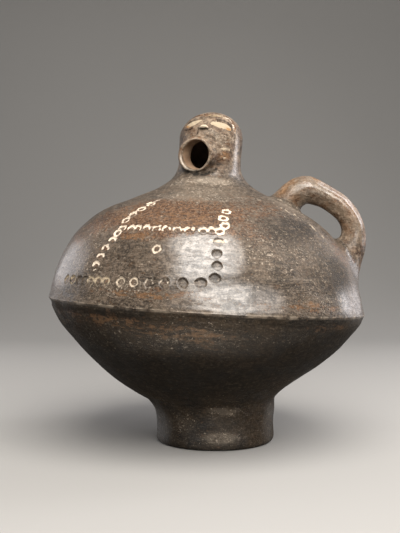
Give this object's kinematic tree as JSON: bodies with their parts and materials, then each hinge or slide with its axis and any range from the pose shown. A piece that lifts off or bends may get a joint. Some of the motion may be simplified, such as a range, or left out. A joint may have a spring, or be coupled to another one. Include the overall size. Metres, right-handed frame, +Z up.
{
  "type": "anthropomorphic vessel",
  "caption": "Hollow burnished clay jar with a wide edged belly, a ring foot, a small head whose round mouth is the spout, a side loop handle and rows of pressed rings.",
  "frame": {"origin": "under the middle of the whole pot, at the height of the foot's underside", "axes": "+Z up, +X towards the handle, -Y the front, with the mouth turned 22 degrees from -Y towards -X"},
  "size_m": [0.2533, 0.25, 0.2604],
  "materials": {
    "clay": "dark grey-brown fired clay, burnished to a satin gloss, with white paste in the pressed rings and eyes"
  },
  "bodies": {
    "root": {"vessel": "clay"}
  },
  "joints": []
}
